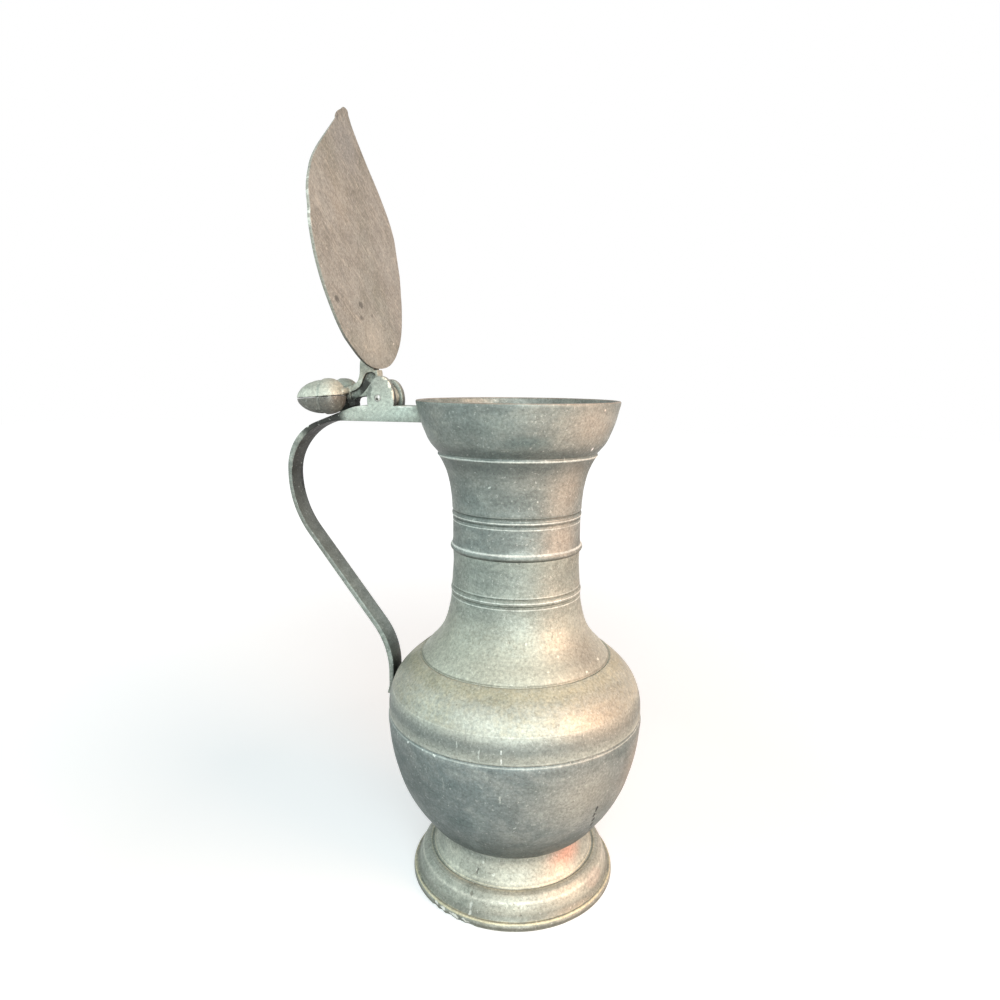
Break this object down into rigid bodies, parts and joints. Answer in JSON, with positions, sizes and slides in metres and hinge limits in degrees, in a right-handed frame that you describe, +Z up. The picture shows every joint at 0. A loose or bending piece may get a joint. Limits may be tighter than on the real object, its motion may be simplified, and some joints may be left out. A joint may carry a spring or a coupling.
{
  "type": "lidded pewter flagon",
  "caption": "Baluster-bellied pewter flagon on a spreading foot, with a strap handle and a hinged, pointed lid raised by a twin-acorn thumbpiece.",
  "frame": {"origin": "centre of the ring face that the foot stands on", "axes": "+Z up along the vessel's axis, +X the way it pours, away from the handle, +Y along the hinge pin"},
  "size_m": [0.1753, 0.1218, 0.3623],
  "materials": {
    "pewter_body": "aged matt pewter, grey-green",
    "pewter_foot": "aged matt pewter, rubbed paler, yellowish in the turned lines",
    "pewter_handle": "aged matt pewter, as cast inside, rubbed on its edges",
    "pewter_lid": "matt pewter, warm grey-brown, scratched",
    "iron_pin": "worn, hammered ends"
  },
  "bodies": {
    "vessel": {"foot": "pewter_foot", "base_disc": "pewter_body", "lower_belly": "pewter_body", "upper_belly": "pewter_body", "lower_neck": "pewter_body", "upper_neck": "pewter_body", "collar": "pewter_body", "handle": "pewter_handle", "hinge_pin": "iron_pin"},
    "lid_assembly": {"lid": "pewter_lid", "thumbpiece": "pewter_handle", "right_acorn_back": "pewter_handle", "left_acorn_back": "pewter_handle"}
  },
  "joints": [
    {"name": "lid_hinge", "type": "hinge", "parent": "vessel", "child": "lid_assembly", "pos_m": [-0.0656, 0, 0.2321], "axis": [0, 1, 0], "range_deg": [0, 98.2]}
  ]
}
